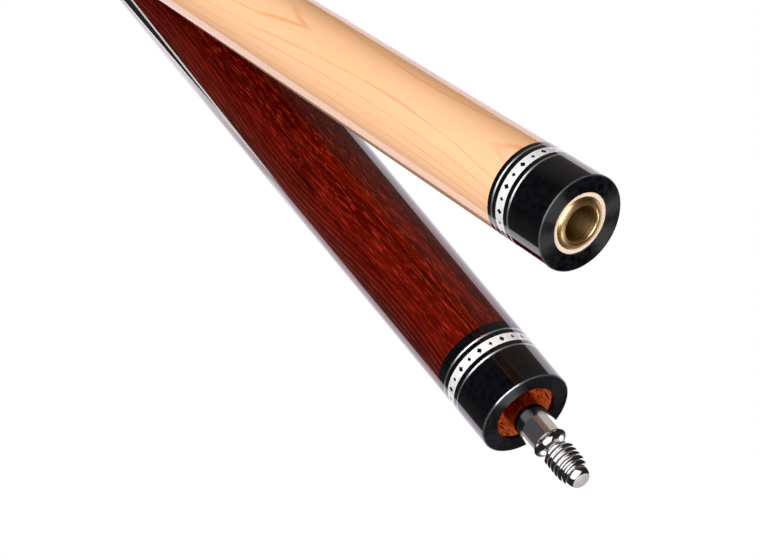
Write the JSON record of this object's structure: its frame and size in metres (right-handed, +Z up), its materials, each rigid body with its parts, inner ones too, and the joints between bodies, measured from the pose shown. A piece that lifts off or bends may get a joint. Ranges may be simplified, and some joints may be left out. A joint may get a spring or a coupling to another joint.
{
  "type": "pool cue",
  "caption": "Jointed pool cue lying taken apart: dark-wood butt with inlaid points, ring work and a steel joint pin, crossed by a tapered maple shaft with a brass insert and a leather tip.",
  "frame": {"origin": "on the floor, under the middle of the box round both halves as they lie", "axes": "+X along the butt towards its joint pin, +Y towards the shaft's joint end, +Z up"},
  "size_m": [0.7705, 0.183, 0.055],
  "materials": {
    "butt_wood": "gloss lacquer over dark red figured wood",
    "black_wood": "gloss lacquer over black wood",
    "white_veneer": "gloss lacquer over white veneer",
    "core_wood": "bare turned wood",
    "shaft_wood": "satin sealed maple",
    "black_resin": "polished black resin",
    "white_resin": "polished white resin",
    "silver_line": "polished metal line",
    "pin_steel": "turned steel",
    "insert_brass": "turned brass",
    "linen": "pressed linen cord",
    "bumper_rubber": "matt moulded rubber",
    "ferrule_resin": "polished white resin",
    "tip_leather": "chalked pressed leather",
    "tip_fibre": "pressed fibre pad"
  },
  "bodies": {
    "butt": {"butt_cap": "black_resin", "cap_lines": "silver_line", "cap_black_rings": "black_resin", "cap_white_ring": "white_resin", "butt_sleeve": "butt_wood", "sleeve_lines": "silver_line", "sleeve_black_rings": "black_resin", "sleeve_white_ring": "white_resin", "handle": "core_wood", "wrap": "linen", "fore_lines": "silver_line", "fore_black_rings": "black_resin", "fore_white_ring": "white_resin", "joining_screw": "pin_steel", "forearm": "butt_wood", "point_veneers": "white_veneer", "points": "black_wood", "butt_band": "black_resin", "butt_lines": "silver_line", "butt_black_rings": "black_resin", "butt_white_ring": "white_resin", "butt_large_diamonds": "black_resin", "butt_small_diamonds": "black_resin", "butt_collar": "black_resin", "joint_pin": "pin_steel"},
    "bumper": {"bumper": "bumper_rubber"},
    "draw_carrier": {"weight_bolt": "pin_steel"},
    "swing_carrier": {"shaft_collar": "black_resin"},
    "shaft": {"insert": "insert_brass", "shaft_lines": "silver_line", "shaft_black_rings": "black_resin", "shaft_white_ring": "white_resin", "shaft_large_diamonds": "black_resin", "shaft_small_diamonds": "black_resin", "shaft_band": "black_resin", "shaft_wood": "shaft_wood", "ferrule": "ferrule_resin", "tip_pad": "tip_fibre", "tip": "tip_leather"}
  },
  "joints": [
    {"name": "bumper_pull", "type": "slide", "parent": "butt", "child": "bumper", "axis": [-1, 0, 0.0076], "range_m": [0, 0.03]},
    {"name": "shaft_draw", "type": "slide", "parent": "butt", "child": "draw_carrier", "axis": [-1, 0, 0.0076], "range_m": [0, 0.0275]},
    {"name": "shaft_swing", "type": "hinge", "parent": "draw_carrier", "child": "swing_carrier", "pos_m": [0.38166, 0.06393, 0.02312], "axis": [-0.0494, 0.5873, -0.8078], "range_deg": [0, 192.58]},
    {"name": "shaft_turn", "type": "hinge", "parent": "swing_carrier", "child": "shaft", "pos_m": [0.36643, 0.08134, 0.04434], "axis": [0.9727, 0.2264, 0.0514], "range_deg": [0, 7920]}
  ],
  "couplings": [
    {"joint": "shaft_turn", "follows": "shaft_draw", "rad_per_m": 5026.5}
  ]
}
